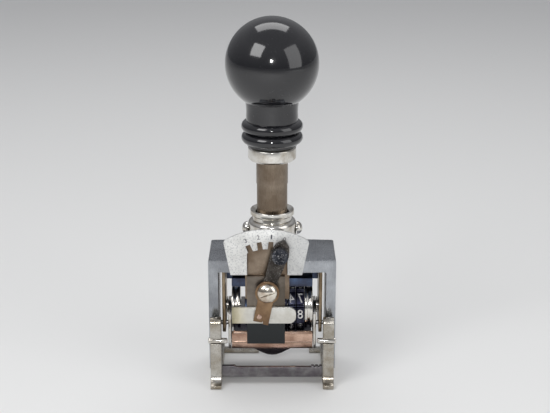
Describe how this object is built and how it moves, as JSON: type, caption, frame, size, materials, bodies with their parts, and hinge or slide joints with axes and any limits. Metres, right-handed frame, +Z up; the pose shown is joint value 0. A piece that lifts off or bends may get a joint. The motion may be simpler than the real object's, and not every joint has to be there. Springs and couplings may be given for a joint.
{
  "type": "numbering machine",
  "caption": "Hand-operated self-inking numbering machine with a ball knob, sprung plunger, number wheels, swinging ink pad and repeat lever.",
  "frame": {"origin": "centre of the footprint's box, on the table", "axes": "+Z up along the plunger, -Y to the front with the sector plate, X along the wheel axle"},
  "size_m": [0.0562, 0.044, 0.1604],
  "materials": {
    "frame_steel": "worn satin nickel plate",
    "foot_nickel": "worn satin nickel plate",
    "bar_steel": "satin",
    "nickel": "polished nickel plate",
    "worn_nickel": "nickel worn to warm grey",
    "spring_steel": "bright",
    "black_knob": "polished black",
    "rubber": "matt",
    "dark_steel": "blued",
    "plate_brass": "tarnished",
    "tray_brass": "warm, polished by use",
    "wheel_steel": "inked steel",
    "ink_felt": "ink-soaked felt",
    "front_steel": "matt worn",
    "pale_metal": "fine matt silvered"
  },
  "bodies": {
    "frame": {"main_frame": "frame_steel", "left_foot": "foot_nickel", "right_foot": "foot_nickel", "front_bar": "bar_steel", "foot_pin_left": "nickel", "foot_pin_right": "nickel", "guide_bush": "nickel", "cross_pin": "nickel", "return_spring": "spring_steel"},
    "carriage": {"knob": "black_knob", "knob_ferrule": "nickel", "knob_stud": "spring_steel", "plunger_tube": "worn_nickel", "buffer_washer": "rubber", "carriage_bridge": "dark_steel", "side_plate_left": "plate_brass", "side_plate_right": "plate_brass", "wheel_axle": "spring_steel", "right_spacer": "nickel", "right_collar": "nickel", "left_collar": "nickel", "left_spacer": "nickel", "detent_comb": "spring_steel", "window_plate": "plate_brass", "front_plate": "front_steel", "sector_plate": "pale_metal", "lever_screw": "nickel"},
    "wheel_1": {"number_wheel_1": "wheel_steel", "ratchet_wheel": "nickel"},
    "wheel_2": {"number_wheel_2": "wheel_steel"},
    "wheel_3": {"number_wheel_3": "wheel_steel"},
    "wheel_4": {"number_wheel_4": "wheel_steel"},
    "wheel_5": {"number_wheel_5": "wheel_steel"},
    "wheel_6": {"number_wheel_6": "wheel_steel"},
    "pad": {"pad_arm_left": "nickel", "pad_arm_right": "nickel", "guide_pin_left": "spring_steel", "guide_pin_right": "spring_steel", "pad_tray": "tray_brass", "ink_felt": "ink_felt"},
    "pawl_carrier": {"pawl_arm": "bar_steel", "pawl_pin": "nickel"},
    "pawl": {"drive_pawl": "dark_steel"},
    "lever": {"pointer_lever": "dark_steel", "lever_knob": "dark_steel", "lever_tail": "plate_brass", "tail_rivet": "plate_brass"},
    "shift_bar": {"repeat_bar": "pale_metal"}
  },
  "joints": [
    {"name": "plunge", "type": "slide", "parent": "frame", "child": "carriage", "axis": [0, 0, -1], "range_m": [0, 0.0187], "stiffness_N_per_m": 600, "springref_m": -0.012, "deforming": ["return_spring"]},
    {"name": "pad_swing", "type": "hinge", "parent": "carriage", "child": "pad", "pos_m": [0, 0.002, 0.0305], "axis": [1, 0, 0], "range_deg": [0, 115.1]},
    {"name": "pawl_stroke", "type": "hinge", "parent": "carriage", "child": "pawl_carrier", "pos_m": [-0.01305, 0.002, 0.0305], "axis": [-1, 0, 0], "range_deg": [0, 36.1]},
    {"name": "pawl_lift", "type": "hinge", "parent": "pawl_carrier", "child": "pawl", "pos_m": [-0.01065, -0.01048, 0.03225], "axis": [1, 0, 0], "range_deg": [0, 8], "stiffness_Nm_per_rad": 0.0002, "springref_deg": -11.46},
    {"name": "wheel_1_turn", "type": "hinge", "parent": "carriage", "child": "wheel_1", "pos_m": [-0.0066, 0.002, 0.0305], "axis": [1, 0, 0], "continuous": true},
    {"name": "wheel_2_turn", "type": "hinge", "parent": "carriage", "child": "wheel_2", "pos_m": [-0.0028, 0.002, 0.0305], "axis": [1, 0, 0], "continuous": true},
    {"name": "wheel_3_turn", "type": "hinge", "parent": "carriage", "child": "wheel_3", "pos_m": [0.001, 0.002, 0.0305], "axis": [1, 0, 0], "continuous": true},
    {"name": "wheel_4_turn", "type": "hinge", "parent": "carriage", "child": "wheel_4", "pos_m": [0.0048, 0.002, 0.0305], "axis": [1, 0, 0], "continuous": true},
    {"name": "wheel_5_turn", "type": "hinge", "parent": "carriage", "child": "wheel_5", "pos_m": [0.0086, 0.002, 0.0305], "axis": [1, 0, 0], "continuous": true},
    {"name": "wheel_6_turn", "type": "hinge", "parent": "carriage", "child": "wheel_6", "pos_m": [0.0124, 0.002, 0.0305], "axis": [1, 0, 0], "continuous": true},
    {"name": "lever_set", "type": "hinge", "parent": "carriage", "child": "lever", "pos_m": [-0.0021, -0.0168, 0.0443], "axis": [0, -1, 0], "range_deg": [0, 40]},
    {"name": "bar_shift", "type": "slide", "parent": "carriage", "child": "shift_bar", "axis": [1, 0, 0], "range_m": [0, 0.0082]}
  ],
  "couplings": [
    {"joint": "pad_swing", "follows": "plunge", "rad_per_m": 107.33},
    {"joint": "pawl_stroke", "follows": "plunge", "rad_per_m": 33.6},
    {"joint": "bar_shift", "follows": "lever_set", "m_per_rad": 0.0116}
  ]
}
